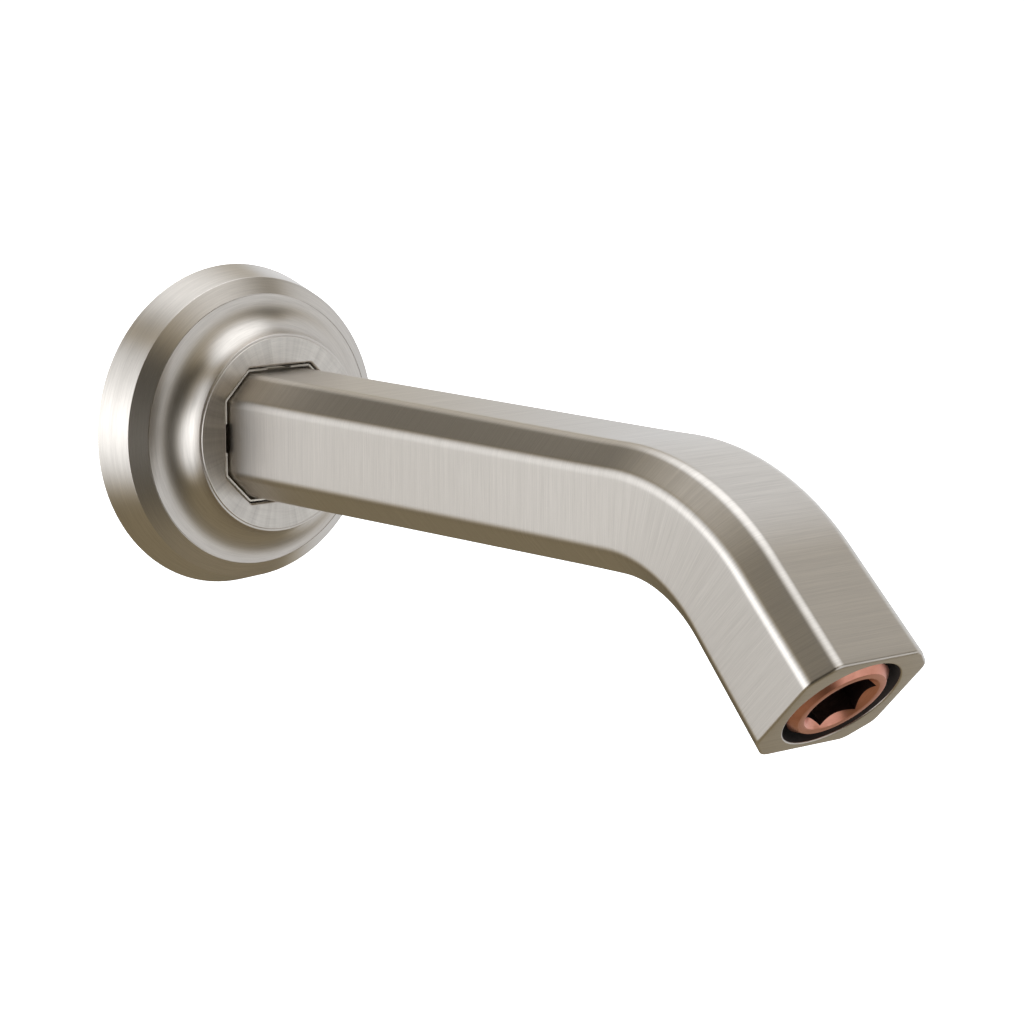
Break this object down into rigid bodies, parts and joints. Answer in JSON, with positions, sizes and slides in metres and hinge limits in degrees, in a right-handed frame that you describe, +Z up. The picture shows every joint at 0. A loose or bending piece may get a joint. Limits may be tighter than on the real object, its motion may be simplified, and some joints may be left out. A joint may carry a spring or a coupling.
{
  "type": "wall mounted tub spout",
  "caption": "Wall mounted bath spout: chamfered square arm with a 45 degree bend, stepped round wall flange and a hexagon socketed copper coloured outlet insert.",
  "frame": {"origin": "centre of the wall flange on the wall plane, on the axis of the supply thread", "axes": "+Z up, +Y into the wall, the straight arm runs along -Y, +X to the right of a person who faces the wall"},
  "size_m": [0.07, 0.2173, 0.0751],
  "materials": {
    "brushed_nickel": "brushed nickel, fine grain across the arm and round the flange",
    "copper_finish": "satin copper",
    "brass": "machined",
    "stainless_steel": "plain",
    "black_rubber": "matte",
    "grey_foam": "matte foam rubber",
    "light_nylon": "satin moulded",
    "red_fibre": "matte vulcanised fibre"
  },
  "bodies": {
    "spout": {"spout_arm": "brushed_nickel", "mounting_shank": "brass", "shank_o_ring_rear": "black_rubber", "shank_o_ring_front": "black_rubber", "shank_stop_washer": "red_fibre", "insert_seat_washer": "red_fibre"},
    "flange": {"wall_flange": "brushed_nickel", "centering_ring": "light_nylon", "arm_wiper_seal": "black_rubber", "seal_backing_washer": "stainless_steel", "flange_retaining_clip": "stainless_steel", "flange_wall_gasket": "grey_foam"},
    "set_screw": {"set_screw": "stainless_steel"},
    "insert_seal": {"insert_o_ring": "black_rubber"},
    "insert": {"outlet_insert": "copper_finish", "flow_straightener": "light_nylon", "straightener_screen": "stainless_steel", "screen_retainer": "stainless_steel"}
  },
  "joints": [
    {"name": "flange_slide", "type": "slide", "parent": "spout", "child": "flange", "axis": [0, -1, 0], "range_m": [0, 0.06]},
    {"name": "set_screw_turn", "type": "hinge", "parent": "spout", "child": "set_screw", "pos_m": [0, -0.009, -0.011], "axis": [0, 0, -1], "range_deg": [0, 1080]},
    {"name": "insert_advance", "type": "slide", "parent": "spout", "child": "insert_seal", "axis": [0, -0.7071, -0.7071], "range_m": [0, 0.008]},
    {"name": "insert_turn", "type": "hinge", "parent": "insert_seal", "child": "insert", "pos_m": [0, -0.18779, -0.03056], "axis": [0, -0.7071, -0.7071], "range_deg": [0, 2880]}
  ],
  "couplings": [
    {"joint": "insert_turn", "follows": "insert_advance", "rad_per_m": 6283.2}
  ]
}
